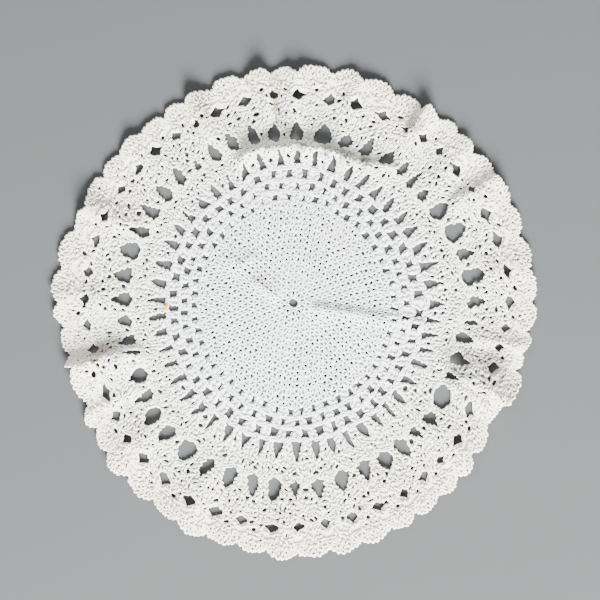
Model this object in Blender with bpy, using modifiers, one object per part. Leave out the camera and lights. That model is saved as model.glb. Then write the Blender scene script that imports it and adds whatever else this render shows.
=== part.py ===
"""Lace doily: a round mat crocheted in one piece from white cotton, lying on a table with its
outer rounds ruffled.

The cloth is one sheet. A point of it is named by s, its distance from the centre along the
cloth, and theta, its angle round the centre, and drape() says where that point lies. Lengths
in the tables are millimetres and angles are degrees, counter-clockwise from +X; the mesh is
in metres, +Z up, with the table top at z = 0 and the origin under the middle of the outline.
"""

import math

import bmesh
import bpy
import numpy as np

MM = 0.001

# Driving sizes of the cloth, measured along it.
THICKNESS = 2.0
WELD = 0.01
REPEATS = 50  # fans, large gaps and scallops in each lace round
CENTRE_HOLE = 2.4
DISC_EDGE = 60.5  # where close stitches end and open rounds begin
MESH_MIDDLE = 75.0
GAPS_MIDDLE = 111.0
RIM = 155.0  # tips of the scallops
NOTCH_DEPTH = 5.2  # how far the notches between scallops cut in
SHOULDER_DEPTH = 1.1

# A large gap lies half-way between two stems, and is a six-sided slot that narrows to a point
# at both ends.
GAP_ENDS = (103.5, 118.5)
GAP_RINGS = (105.5, 110.5, 116.0)
GAP_HALF_WIDTHS = (2.5, 3.8, 2.2)
GAP_CELLS = (1, 2)  # the columns of a repeat that a gap takes
WIDE_GAPS = (1, 3, 4, 11, 22, 30, 32, 36, 41, 45)  # numbered counter-clockwise from +X
NARROW_GAPS = (0, 5, 17, 27, 37, 43, 49)
WIDE = 1.35
NARROW = 0.65
GAP_UNEVENNESS = 0.1  # share by which the width of every gap varies
UNEVEN_STEP = 2.4  # radians from one gap's variation to the next

# The mesh: each ring of vertices by its distance s, and how many columns share a vertex there,
# so that the columns stay about as wide as the rings are far apart.
LACE_COLUMNS_PER_REPEAT = 4
RING_COLUMNS = ("s", "shared")
RINGS = (
    (CENTRE_HOLE, 10),
    (9.0, 10),
    (18.0, 5),
    (28.0, 5),
    (39.0, 2),
    (50.0, 2),
    (DISC_EDGE, 2),
    (73.0, 2),
    (85.0, 2),
    (95.0, 1),
    (GAP_RINGS[0], 1),
    (GAP_RINGS[1], 1),
    (GAP_RINGS[2], 1),
    (124.0, 1),
    (131.0, 1),
    (139.0, 1),
    (148.0, 1),
    (RIM, 1),
)

# How the rounds lie: the distances of the close disc's edge, of the middle of the large gaps and
# of the scallop tips from the centre, and how far the mesh round and the gap round are turned,
# in degrees, because the cloth is stretched unevenly.
OUTLINE_COLUMNS = ("azimuth", "disc_edge", "gaps", "rim", "mesh_turn", "gap_turn")
OUTLINE = (
    (0, 59.9, 114.4, 152.4, -4.4, -3.2),
    (20, 58.9, 109.9, 152.0, -2.9, -1.5),
    (40, 58.8, 106.2, 151.0, -1.4, -0.1),
    (60, 59.5, 107.9, 148.7, 0.0, -4.5),
    (80, 62.3, 107.6, 148.7, -1.1, -3.1),
    (100, 62.3, 108.7, 148.0, -1.9, -0.6),
    (120, 59.8, 105.1, 145.9, -1.6, -0.8),
    (150, 58.8, 105.2, 147.2, 0.4, -1.1),
    (175, 59.3, 106.1, 150.3, 2.3, 2.4),
    (200, 59.3, 104.8, 147.5, 2.3, 1.5),
    (225, 59.5, 112.4, 154.3, 2.4, -0.7),
    (250, 62.5, 115.3, 157.6, 2.5, 1.5),
    (270, 64.7, 116.0, 159.9, 1.3, 0.8),
    (300, 62.8, 113.1, 156.1, -0.3, 1.5),
    (322, 61.0, 111.3, 150.5, -2.7, -0.9),
    (331, 60.7, 107.3, 143.5, -3.2, 0.0),
    (338, 60.5, 109.4, 151.0, -3.5, 3.0),
    (349, 60.2, 109.3, 149.0, -4.0, 0.2),
)

# Each fold is a soft ridge along a line from its start to its end, fading in and out over its
# fade length. Its crest leans counter-clockwise on a line that runs outward, and outward on a
# line that runs clockwise. A line that ends past the rim is at its full height there.
FOLD_COLUMNS = (
    "name", "start_azimuth", "start", "end_azimuth", "end", "half_width", "height", "lean", "fade",
)  # fmt: skip
FOLDS = (
    ("disc crease, right", 357, 6, 352, 95, 4.0, 2.0, 0.6, 14),
    ("disc crease, upper left", 141, 5, 138, 28, 4.0, 1.6, 0.0, 9),
    ("disc swell, left", 145, 34, 146, 56, 6.0, 1.3, 0.0, 9),
    ("top tuck", 116, 96, 63, 96, 6.5, 8.5, 5.5, 16),
    ("tail of the tuck", 69, 93, 50, 111, 5.0, 5.0, 2.5, 10),
    ("top ridge, left", 99, 108, 99, 180, 7.5, 5.5, -3.5, 20),
    ("top ridge, right", 88, 110, 89, 180, 8.0, 4.5, 2.0, 20),
    ("narrow scallop", 54, 118, 54, 185, 6.5, 8.0, 3.5, 22),
    ("upper right ridge", 29, 102, 30, 185, 8.0, 6.0, 4.0, 26),
    ("upper right swell", 41, 98, 41, 185, 9.0, 3.5, 0.0, 26),
    ("right swell", 8, 100, 8, 185, 11.0, 3.5, 0.0, 30),
    ("right lobe", 343, 92, 337, 180, 9.5, 10.5, -8.5, 26),
    ("lower right swell", 318, 96, 318, 185, 12.0, 3.5, 0.0, 30),
    ("low swell, right", 297, 98, 297, 185, 11.0, 3.0, 0.0, 30),
    ("low ridge", 268, 100, 267, 185, 9.0, 4.0, 2.0, 28),
    ("low swell, left", 243, 98, 243, 185, 11.0, 3.5, 0.0, 30),
    ("lower left swell", 222, 96, 222, 185, 11.0, 4.0, 0.0, 30),
    ("left pleat", 202, 94, 199, 185, 10.0, 9.5, -8.5, 24),
    ("left swell", 179, 98, 179, 185, 10.0, 3.5, 0.0, 30),
    ("left lobe", 153, 100, 154, 185, 8.5, 6.5, 4.5, 26),
    ("upper left swell", 135, 98, 135, 185, 10.0, 3.5, 0.0, 30),
    ("upper left lobe", 115, 104, 115, 185, 7.5, 6.0, 3.5, 24),
    ("top right swell", 73, 112, 73, 185, 8.0, 3.5, 0.0, 24),
)


STRAIGHT_WITHIN = 30.0  # a fold that turns through more degrees bends with the rounds
TAKE_UP = 0.63  # of height squared over half width, the extra length of a bell-shaped ridge
TAKE_UP_REACH = 30.0


def column(table, names, name):
    """One named column of a table, as an array."""
    return np.array([row[names.index(name)] for row in table], float)


def smooth(x):
    """0 below 0, 1 above 1, and a soft step between."""
    x = np.clip(x, 0.0, 1.0)
    return x * x * (3.0 - 2.0 * x)


def round_the_mat(azimuth, name):
    """A column of OUTLINE at any azimuth, in radians, eased between its rows."""
    azimuths = column(OUTLINE, OUTLINE_COLUMNS, "azimuth")
    values = column(OUTLINE, OUTLINE_COLUMNS, name)
    rows = len(azimuths)
    place = np.interp(
        np.degrees(azimuth) % 360.0, np.append(azimuths, 360.0), np.arange(rows + 1)
    )
    row = np.minimum(place.astype(int), rows - 1)
    blend = smooth(place - row)
    return values[row] * (1.0 - blend) + values[(row + 1) % rows] * blend


def across_straight_fold(fold, s, theta):
    """(along, across, direction across) of points beside a fold that runs straight."""
    _, azimuth_a, start, azimuth_b, end, *_ = fold
    here = np.stack([s * np.cos(theta), s * np.sin(theta)], axis=-1)
    low, high = (
        np.array([r * math.cos(math.radians(a)), r * math.sin(math.radians(a))])
        for a, r in ((azimuth_a, start), (azimuth_b, end))
    )
    run = (high - low) / np.linalg.norm(high - low)
    side = np.array([-run[1], run[0]])
    return (here - low) @ run, (here - low) @ side, side


def across_ring_fold(fold, s, theta):
    """The same for a fold that bends with the rounds."""
    _, azimuth_a, start, azimuth_b, end, *_ = fold
    middle = (start + end) / 2.0
    run_arc, run_out = math.radians(azimuth_b - azimuth_a) * middle, end - start
    length = math.hypot(run_arc, run_out)
    run_arc, run_out = run_arc / length, run_out / length
    off = (theta - math.radians(azimuth_a) + math.pi) % (2.0 * math.pi) - math.pi
    arc, out = off * middle, s - start
    radial = np.stack([np.cos(theta), np.sin(theta)], axis=-1)
    tangent = np.stack([-np.sin(theta), np.cos(theta)], axis=-1)
    side = run_out * tangent - run_arc * radial
    return arc * run_arc + out * run_out, arc * run_out - out * run_arc, side


def fold_length(fold):
    _, azimuth_a, start, azimuth_b, end, *_ = fold
    arc = math.radians(azimuth_b - azimuth_a) * (start + end) / 2.0
    return math.hypot(arc, end - start)


def fold_shift(fold, s, theta):
    """How far one fold moves points of the cloth, as an array of (x, y, z)."""
    _, azimuth_a, _, azimuth_b, _, half_width, height, lean, fade = fold
    bends = abs(azimuth_b - azimuth_a) > STRAIGHT_WITHIN
    measure = across_ring_fold if bends else across_straight_fold
    along, across, side = measure(fold, s, theta)
    strength = smooth(along / fade) * smooth((fold_length(fold) - along) / fade)
    crest = strength * np.exp(-((across / half_width) ** 2))
    # The ridge takes up cloth from both sides, and this fades out away from it.
    taken = TAKE_UP * height**2 / half_width
    drawn = np.tanh(across / half_width) * np.exp(-((across / TAKE_UP_REACH) ** 2))
    sideways = lean * crest - 0.5 * taken * strength * drawn
    return np.concatenate([sideways[:, None] * side, (height * crest)[:, None]], axis=-1)


def turned(s, theta):
    """The azimuth at which the uneven stretch of the cloth puts points."""
    mesh = round_the_mat(theta, "mesh_turn")
    gaps = round_the_mat(theta, "gap_turn")
    share = np.clip((s - MESH_MIDDLE) / (GAPS_MIDDLE - MESH_MIDDLE), 0.0, 1.0)
    turn = mesh * np.minimum(s / MESH_MIDDLE, 1.0) + share * (gaps - mesh)
    return theta + np.radians(turn)


def drape(s, theta):
    """Where points of the cloth's middle surface lie, as an array of (x, y, z) in millimetres."""
    theta = turned(s, theta)
    rings = (0.0, DISC_EDGE, GAPS_MIDDLE, RIM)
    names = ("disc_edge", "gaps", "rim")
    radii = [np.zeros_like(s), *(round_the_mat(theta, name) for name in names)]
    ring = np.clip(np.searchsorted(rings, s) - 1, 0, len(names) - 1)
    inner, outer = (np.choose(ring + step, radii) for step in (0, 1))
    start, end = (np.take(rings, ring + step) for step in (0, 1))
    radius = inner + (s - start) / (end - start) * (outer - inner)
    middle = np.full_like(s, THICKNESS / 2.0)
    place = np.stack([radius * np.cos(theta), radius * np.sin(theta), middle], axis=-1)
    return place + sum(fold_shift(fold, s, theta) for fold in FOLDS)


def is_gap(ring, col):
    """Whether the cell from this ring and column to the next is inside a large gap."""
    in_gap_rings = GAP_RINGS[0] <= RINGS[ring][0] < GAP_RINGS[-1]
    return in_gap_rings and col % LACE_COLUMNS_PER_REPEAT in GAP_CELLS


def gap_width(repeat):
    """How wide a gap is, as a share of the usual width."""
    usual = WIDE if repeat in WIDE_GAPS else NARROW if repeat in NARROW_GAPS else 1.0
    return usual * (1.0 + GAP_UNEVENNESS * math.sin(UNEVEN_STEP * repeat))


def cloth_point(ring, col):
    """(s, theta) of a vertex, with the large gaps and the scallops shaped in."""
    s, shared = RINGS[ring]
    repeat, place = divmod(col - col % shared, LACE_COLUMNS_PER_REPEAT)
    repeat_angle = 2.0 * math.pi / REPEATS
    theta = (repeat + place / LACE_COLUMNS_PER_REPEAT) * repeat_angle
    middle = LACE_COLUMNS_PER_REPEAT // 2
    if s in GAP_RINGS and abs(place - middle) == 1:
        width = GAP_HALF_WIDTHS[GAP_RINGS.index(s)] * gap_width(repeat)
        theta = (repeat + 0.5) * repeat_angle + (place - middle) * width / s
    if place == middle:
        s = {GAP_RINGS[0]: GAP_ENDS[0], GAP_RINGS[-1]: GAP_ENDS[1], RIM: RIM - NOTCH_DEPTH}.get(s, s)
    elif s == RIM and place:
        s -= SHOULDER_DEPTH
    return s, theta


def build_sheet(bm):
    """A grid rolled round the centre, with the cells of the large gaps left out."""
    columns = REPEATS * LACE_COLUMNS_PER_REPEAT
    rows = len(RINGS) - 1
    grid = bmesh.ops.create_grid(bm, x_segments=columns, y_segments=rows, size=0.5)

    def ring_and_column(position):
        return (position.y + 0.5) * rows, (position.x + 0.5) * columns

    gaps = []
    for face in bm.faces:
        ring, col = ring_and_column(face.calc_center_median())
        if is_gap(int(ring), int(col)):
            gaps.append(face)
    places = [ring_and_column(vert.co) for vert in grid["verts"]]
    points = np.array([cloth_point(round(ring), round(col)) for ring, col in places])
    for vert, position in zip(grid["verts"], drape(points[:, 0], points[:, 1])):
        vert.co = position * MM
    bmesh.ops.delete(bm, geom=gaps, context="FACES")
    bmesh.ops.remove_doubles(bm, verts=bm.verts, dist=WELD * MM)
    bmesh.ops.recalc_face_normals(bm, faces=bm.faces)


def cotton_material():
    """Matt white cotton yarn."""
    material = bpy.data.materials.new("white_cotton")
    material.use_nodes = True
    shader = material.node_tree.nodes["Principled BSDF"]
    shader.inputs["Base Color"].default_value = (0.79, 0.79, 0.76, 1.0)
    shader.inputs["Roughness"].default_value = 0.9
    shader.inputs["Metallic"].default_value = 0.0
    return material


def clear_scene():
    for obj in list(bpy.data.objects):
        bpy.data.objects.remove(obj, do_unlink=True)


def build_doily():
    """The whole mat: one open sheet thickened equally to both sides."""
    bm = bmesh.new()
    build_sheet(bm)
    mesh = bpy.data.meshes.new("doily")
    bm.to_mesh(mesh)
    bm.free()
    mesh.shade_smooth()
    mesh.materials.append(cotton_material())
    doily = bpy.data.objects.new("doily", mesh)
    solidify = doily.modifiers.new("thickness", "SOLIDIFY")
    solidify.thickness = THICKNESS * MM
    solidify.offset = 0.0
    return doily


def rest_on_origin(obj):
    """Moves the mesh so that the origin is under the middle of its box, on the table."""
    bpy.context.view_layer.update()
    evaluated = obj.evaluated_get(bpy.context.evaluated_depsgraph_get())
    corners = np.array([corner[:] for corner in evaluated.bound_box])
    low, high = corners.min(axis=0), corners.max(axis=0)
    shift = np.array([(low[0] + high[0]) / 2.0, (low[1] + high[1]) / 2.0, low[2]])
    for vert in obj.data.vertices:
        vert.co = np.array(vert.co) - shift
    print("centre of the crochet at", (-shift / MM).round(3), "size", ((high - low) / MM).round(2))


clear_scene()
collection = bpy.data.collections.new("lace_doily")
bpy.context.scene.collection.children.link(collection)
doily = build_doily()
collection.objects.link(doily)
rest_on_origin(doily)
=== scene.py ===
"""The looks of a lace doily: every strand of its crochet, laid on the folds of the CAD sheet.

A point of the cloth is named by s, its distance from the centre along the cloth, and theta, its
angle round the centre, and it stands h off the middle of the cloth. In one repeat of the lace,
a is its distance to the side of the repeat's middle line. All of these are millimetres and
radians. The tables give azimuths in degrees, and the meshes, the materials, the lights and the
camera are in metres.
"""

import math

import bpy
import numpy as np
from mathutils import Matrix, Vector
from mathutils.geometry import delaunay_2d_cdt


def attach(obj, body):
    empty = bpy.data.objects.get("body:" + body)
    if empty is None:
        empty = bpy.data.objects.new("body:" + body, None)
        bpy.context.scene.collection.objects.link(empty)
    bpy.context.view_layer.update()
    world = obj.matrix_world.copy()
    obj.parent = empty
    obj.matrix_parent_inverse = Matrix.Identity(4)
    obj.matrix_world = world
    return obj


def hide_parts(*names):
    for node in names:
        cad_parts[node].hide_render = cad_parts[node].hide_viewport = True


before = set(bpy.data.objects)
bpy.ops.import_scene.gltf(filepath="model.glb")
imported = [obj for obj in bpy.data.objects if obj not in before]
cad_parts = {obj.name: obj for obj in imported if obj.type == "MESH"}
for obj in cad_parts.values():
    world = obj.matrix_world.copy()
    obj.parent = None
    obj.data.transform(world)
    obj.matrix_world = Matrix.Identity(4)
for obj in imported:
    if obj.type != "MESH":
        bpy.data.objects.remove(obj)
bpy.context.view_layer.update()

MM = 0.001
RNG = np.random.default_rng(7)

# -------- sizes

CENTRE = (-1.06, 5.94)  # where the crochet starts, from the middle of the outline's box
THICKNESS = 2.0
REPEATS = 50
PITCH = 2.0 * math.pi / REPEATS
CENTRE_HOLE = (3.2, 2.4)  # its longer and shorter half
CENTRE_HOLE_LEAN = math.radians(-25.0)
DISC_EDGE = 60.5
RIM = 155.0
MESH_MIDDLE = 75.0
GAPS_MIDDLE = 111.0

STRAND = 0.76  # radius of the yarn
SIDES = 5

DISC_START = 4.4
DISC_ROUNDS = 16
FIRST_ROUND_STITCHES = 10
STITCHES_ADDED = 6
ROW = (DISC_EDGE - DISC_START) / DISC_ROUNDS

# The mesh rounds: where each starts and ends, and where its holes lie in a repeat.
MESH_COLUMNS = ("start", "end", "hole_at", "base", "belly", "top")
MESH_ROUNDS = (
    (60.5, 66.7, 0.0, 1.20, 1.25, 1.25),
    (66.7, 73.5, 0.5, 0.75, 1.55, 1.45),
    (73.5, 81.4, 0.0, 0.75, 1.65, 1.60),
)

# How the rounds lie: the distances of the close disc's edge, of the middle of the large gaps and
# of the scallop tips from the centre, and how far the mesh round and the gap round are turned,
# in degrees, because the cloth is stretched unevenly. The same rows stand in part.py. The columns
# gaps, mesh_turn and gap_turn weren't chosen by hand: a program fitted them to the photo's holes.
OUTLINE_COLUMNS = ("azimuth", "disc_edge", "gaps", "rim", "mesh_turn", "gap_turn")
OUTLINE = (
    (0, 59.9, 114.4, 152.4, -4.4, -3.2),
    (20, 58.9, 109.9, 152.0, -2.9, -1.5),
    (40, 58.8, 106.2, 151.0, -1.4, -0.1),
    (60, 59.5, 107.9, 148.7, 0.0, -4.5),
    (80, 62.3, 107.6, 148.7, -1.1, -3.1),
    (100, 62.3, 108.7, 148.0, -1.9, -0.6),
    (120, 59.8, 105.1, 145.9, -1.6, -0.8),
    (150, 58.8, 105.2, 147.2, 0.4, -1.1),
    (175, 59.3, 106.1, 150.3, 2.3, 2.4),
    (200, 59.3, 104.8, 147.5, 2.3, 1.5),
    (225, 59.5, 112.4, 154.3, 2.4, -0.7),
    (250, 62.5, 115.3, 157.6, 2.5, 1.5),
    (270, 64.7, 116.0, 159.9, 1.3, 0.8),
    (300, 62.8, 113.1, 156.1, -0.3, 1.5),
    (322, 61.0, 111.3, 150.5, -2.7, -0.9),
    (331, 60.7, 107.3, 143.5, -3.2, 0.0),
    (338, 60.5, 109.4, 151.0, -3.5, 3.0),
    (349, 60.2, 109.3, 149.0, -4.0, 0.2),
)

# Ridges of the cloth, each along a line from one azimuth and distance to another. They are those
# of part.py, but the top tuck, its tail and the right disc crease lie a little differently.
FOLD_COLUMNS = (
    "name", "start_azimuth", "start", "end_azimuth", "end", "half_width", "height", "lean", "fade",
)  # fmt: skip
FOLDS = (
    ("disc crease, right", 350, 6, 350, 95, 4.0, 2.0, 0.6, 14),
    ("disc crease, upper left", 141, 5, 138, 28, 4.0, 1.6, 0.0, 9),
    ("disc swell, left", 145, 34, 146, 56, 6.0, 1.3, 0.0, 9),
    ("top tuck", 116, 96, 63, 96, 6.5, 8.5, 2.0, 16),
    ("tail of the tuck", 69, 93, 50, 111, 5.0, 5.5, 1.0, 10),
    ("top ridge, left", 99, 108, 99, 180, 7.5, 5.5, -3.5, 20),
    ("top ridge, right", 88, 110, 89, 180, 8.0, 4.5, 2.0, 20),
    ("narrow scallop", 54, 118, 54, 185, 6.5, 8.0, 3.5, 22),
    ("upper right ridge", 29, 102, 30, 185, 8.0, 6.0, 4.0, 26),
    ("upper right swell", 41, 98, 41, 185, 9.0, 3.5, 0.0, 26),
    ("right swell", 8, 100, 8, 185, 11.0, 3.5, 0.0, 30),
    ("right lobe", 343, 92, 337, 180, 9.5, 10.5, -8.5, 26),
    ("lower right swell", 318, 96, 318, 185, 12.0, 3.5, 0.0, 30),
    ("low swell, right", 297, 98, 297, 185, 11.0, 3.0, 0.0, 30),
    ("low ridge", 268, 100, 267, 185, 9.0, 4.0, 2.0, 28),
    ("low swell, left", 243, 98, 243, 185, 11.0, 3.5, 0.0, 30),
    ("lower left swell", 222, 96, 222, 185, 11.0, 4.0, 0.0, 30),
    ("left pleat", 202, 94, 199, 185, 10.0, 9.5, -8.5, 24),
    ("left swell", 179, 98, 179, 185, 10.0, 3.5, 0.0, 30),
    ("left lobe", 153, 100, 154, 185, 8.5, 6.5, 4.5, 26),
    ("upper left swell", 135, 98, 135, 185, 10.0, 3.5, 0.0, 30),
    ("upper left lobe", 115, 104, 115, 185, 7.5, 6.0, 3.5, 24),
    ("top right swell", 73, 112, 73, 185, 8.0, 3.5, 0.0, 24),
)
# Sharper creases on top of the folds, in the same columns, which part.py doesn't have.
CREASES = (
    ("sharp crease, right", 322, 8, 347, 64, 2.6, 1.6, 1.0, 10),
    ("sharp crease, upper left", 174, 8, 150, 32, 2.5, 2.1, 0.5, 8),
    ("sharp crease, far left", 150, 42.5, 124, 39.5, 2.4, 1.1, 0.0, 8),
    ("lump of the tuck, first", 108, 88, 106, 104, 3.0, 3.0, 1.4, 7),
    ("lump of the tuck, second", 99, 90, 98, 106, 3.2, 3.2, -1.6, 7),
    ("lump of the tuck, third", 90, 89, 88, 107, 3.4, 3.8, 1.9, 7),
    ("lump of the tuck, fourth", 81, 90, 81, 106, 3.0, 3.0, -1.6, 7),
    ("lump of the tuck, fifth", 73, 90, 75, 107, 3.2, 3.8, 2.0, 7),
    ("lump of the tuck, last", 65, 93, 67, 109, 3.2, 3.0, -1.5, 7),
    ("second ridge, right lobe", 351, 106, 350, 168, 4.5, 3.6, -2.0, 18),
    ("third ridge, right lobe", 331, 100, 330, 160, 4.0, 2.8, 2.0, 18),
    ("second ridge, left pleat", 210, 104, 208, 165, 4.2, 3.0, 2.0, 18),
)
STRAIGHT_WITHIN = 30.0  # a fold that turns through more degrees bends with the rounds
TAKE_UP = 0.63  # of height squared over half width, the extra length of a bell-shaped ridge
TAKE_UP_REACH = 30.0

# Small unevenness of hand work: waves over the cloth and how far each moves a stitch.
WOBBLE_COLUMNS = ("turns", "outward", "phase", "shift_out", "shift_round")
WOBBLE = (
    (7, 0.11, 0.3, 0.5, 0.6),
    (13, -0.17, 1.9, 0.4, 0.5),
    (31, 0.23, 4.1, 0.35, 0.4),
    (47, -0.35, 2.2, 0.3, 0.35),
    (83, 0.62, 5.1, 0.28, 0.3),
    (118, -0.85, 0.8, 0.22, 0.25),
)

STEADY_TO = 10.0  # the waves start at this distance from the centre
UNEVEN_OVER = 60.0  # and have their full size this much further out

# Every scallop lies a little differently: further out, turned along the rim, or lifted.
SCALLOPS_FROM = 122.0
SCALLOP_OUT = RNG.normal(0.0, 1.0, REPEATS)
SCALLOP_TURN = RNG.normal(0.0, 1.2, REPEATS)
SCALLOP_LIFT = RNG.uniform(0.0, 1.6, REPEATS)

# Large gaps that are pulled wider or narrower than the rest, as in part.py.
WIDE_GAPS = (1, 3, 4, 11, 22, 30, 32, 36, 41, 45)
NARROW_GAPS = (0, 5, 17, 27, 37, 43, 49)
WIDE = 1.35
NARROW = 0.65
GAP_UNEVENNESS = 0.1  # share by which the width of every gap varies
UNEVEN_STEP = 2.4  # radians from one gap's variation to the next
GAP_HALF_WIDTH = 3.6
GAP_FROM, GAP_TO = 102.0, 120.0  # where the pull starts and ends, eased over GAP_EASE
GAP_EASE = 4.0


# -------- the folds


def column(table, names, name):
    """One named column of a table, as an array."""
    return np.array([row[names.index(name)] for row in table], float)


def smooth(x):
    """0 below 0, 1 above 1, and a soft step between."""
    x = np.clip(x, 0.0, 1.0)
    return x * x * (3.0 - 2.0 * x)


def unit(vectors):
    return vectors / np.linalg.norm(vectors, axis=-1, keepdims=True)


def round_the_mat(azimuth, name):
    """A column of OUTLINE at any azimuth, in radians, eased between its rows."""
    azimuths = column(OUTLINE, OUTLINE_COLUMNS, "azimuth")
    values = column(OUTLINE, OUTLINE_COLUMNS, name)
    rows = len(azimuths)
    place = np.interp(np.degrees(azimuth) % 360.0, np.append(azimuths, 360.0), np.arange(rows + 1))
    row = np.minimum(place.astype(int), rows - 1)
    blend = smooth(place - row)
    return values[row] * (1.0 - blend) + values[(row + 1) % rows] * blend


def across_straight_fold(fold, s, theta):
    """(along, across, direction across) of points beside a fold that runs straight."""
    _, azimuth_a, start, azimuth_b, end, *_ = fold
    here = np.stack([s * np.cos(theta), s * np.sin(theta)], axis=-1)
    low, high = (
        np.array([r * math.cos(math.radians(a)), r * math.sin(math.radians(a))])
        for a, r in ((azimuth_a, start), (azimuth_b, end))
    )
    run = (high - low) / np.linalg.norm(high - low)
    side = np.array([-run[1], run[0]])
    return (here - low) @ run, (here - low) @ side, side


def across_ring_fold(fold, s, theta):
    """The same for a fold that bends with the rounds."""
    _, azimuth_a, start, azimuth_b, end, *_ = fold
    middle = (start + end) / 2.0
    run_arc, run_out = math.radians(azimuth_b - azimuth_a) * middle, end - start
    length = math.hypot(run_arc, run_out)
    run_arc, run_out = run_arc / length, run_out / length
    off = (theta - math.radians(azimuth_a) + math.pi) % (2.0 * math.pi) - math.pi
    arc, out = off * middle, s - start
    radial = np.stack([np.cos(theta), np.sin(theta)], axis=-1)
    tangent = np.stack([-np.sin(theta), np.cos(theta)], axis=-1)
    side = run_out * tangent - run_arc * radial
    return arc * run_arc + out * run_out, arc * run_out - out * run_arc, side


def fold_length(fold):
    _, azimuth_a, start, azimuth_b, end, *_ = fold
    arc = math.radians(azimuth_b - azimuth_a) * (start + end) / 2.0
    return math.hypot(arc, end - start)


def fold_shift(fold, s, theta):
    """How far one fold moves points of the cloth, as an array of (x, y, z)."""
    _, azimuth_a, _, azimuth_b, _, half_width, height, lean, fade = fold
    bends = abs(azimuth_b - azimuth_a) > STRAIGHT_WITHIN
    measure = across_ring_fold if bends else across_straight_fold
    along, across, side = measure(fold, s, theta)
    strength = smooth(along / fade) * smooth((fold_length(fold) - along) / fade)
    crest = strength * np.exp(-((across / half_width) ** 2))
    taken = TAKE_UP * height**2 / half_width
    drawn = np.tanh(across / half_width) * np.exp(-((across / TAKE_UP_REACH) ** 2))
    sideways = lean * crest - 0.5 * taken * strength * drawn
    return np.concatenate([sideways[:, None] * side, (height * crest)[:, None]], axis=-1)


def turned(s, theta):
    """The azimuth at which the uneven stretch of the cloth puts points."""
    mesh = round_the_mat(theta, "mesh_turn")
    gaps = round_the_mat(theta, "gap_turn")
    share = np.clip((s - MESH_MIDDLE) / (GAPS_MIDDLE - MESH_MIDDLE), 0.0, 1.0)
    turn = mesh * np.minimum(s / MESH_MIDDLE, 1.0) + share * (gaps - mesh)
    return theta + np.radians(turn)


def drape(s, theta):
    """Where points of the cloth's middle lie on its folds and creases."""
    theta = turned(s, theta)
    rings = (0.0, DISC_EDGE, GAPS_MIDDLE, RIM)
    names = ("disc_edge", "gaps", "rim")
    radii = [np.zeros_like(s), *(round_the_mat(theta, name) for name in names)]
    ring = np.clip(np.searchsorted(rings, s) - 1, 0, len(names) - 1)
    inner, outer = (np.choose(ring + step, radii) for step in (0, 1))
    start, end = (np.take(rings, ring + step) for step in (0, 1))
    radius = inner + (s - start) / (end - start) * (outer - inner)
    middle = np.full_like(s, THICKNESS / 2.0)
    place = np.stack([radius * np.cos(theta), radius * np.sin(theta), middle], axis=-1)
    place = place + sum(fold_shift(fold, s, theta) for fold in FOLDS + CREASES)
    return place + np.array([*CENTRE, 0.0])


def round_the_repeats(values, theta):
    """Values given for each repeat, eased between the repeats."""
    place = theta / PITCH
    row = np.floor(place).astype(int)
    blend = smooth(place - row)
    return values[row % REPEATS] * (1.0 - blend) + values[(row + 1) % REPEATS] * blend


def gap_widths():
    """How wide each large gap is, as a share of the usual width."""
    repeat = np.arange(REPEATS)
    usual = np.where(np.isin(repeat, WIDE_GAPS), WIDE, 1.0)
    usual = np.where(np.isin(repeat, NARROW_GAPS), NARROW, usual)
    return usual * (1.0 + GAP_UNEVENNESS * np.sin(UNEVEN_STEP * repeat))


def pulled_gaps(s, theta):
    """theta with the wide gaps pulled open and the narrow ones closed."""
    repeat = np.floor(theta / PITCH)
    half_pitch = 0.5 * PITCH * s
    off = (theta / PITCH - repeat - 0.5) * PITCH * s
    share = np.clip((half_pitch - np.abs(off)) / (half_pitch - GAP_HALF_WIDTH), 0.0, 1.0)
    share *= smooth((s - GAP_FROM) / GAP_EASE) * smooth((GAP_TO - s) / GAP_EASE)
    width = gap_widths()[repeat.astype(int) % REPEATS]
    return theta + (width - 1.0) * GAP_HALF_WIDTH * share * np.sign(off) / s


def hand_work(s, theta):
    """(s, theta, lift) with the unevenness of stitches made by hand."""
    growth = smooth((s - STEADY_TO) / UNEVEN_OVER)
    out, turn = s.copy(), pulled_gaps(s, theta)
    for turns, outward, phase, shift_out, shift_round in WOBBLE:
        out += shift_out * growth * np.sin(turns * theta + outward * s + phase)
        turn += shift_round * growth * np.cos(turns * theta - outward * s + 2.0 * phase) / s
    rim = smooth((s - SCALLOPS_FROM) / (RIM - SCALLOPS_FROM))
    out += rim * round_the_repeats(SCALLOP_OUT, theta)
    turn += rim * round_the_repeats(SCALLOP_TURN, theta) / s
    return out, turn, rim * round_the_repeats(SCALLOP_LIFT, theta)


def lie(s, theta):
    """Where points of the cloth's middle lie, with the unevenness of hand work."""
    out, turn, lift = hand_work(s, theta)
    place = drape(out, turn)
    place[:, 2] += lift
    return place


SLOPE_STEP = 0.4  # how far apart the points are from which the slope of the cloth is read


def on_cloth(path):
    """(places, directions off the cloth) of an array of (s, theta, h)."""
    shape = path.shape[:-1]
    s, theta, h = (path[..., i].ravel() for i in range(3))
    here = lie(s, theta)
    outward = lie(s + SLOPE_STEP, theta) - here
    around = lie(s, theta + SLOPE_STEP / s) - here
    off = unit(np.cross(outward, around))
    return (here + off * h[:, None]).reshape(*shape, 3), off.reshape(*shape, 3)


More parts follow.
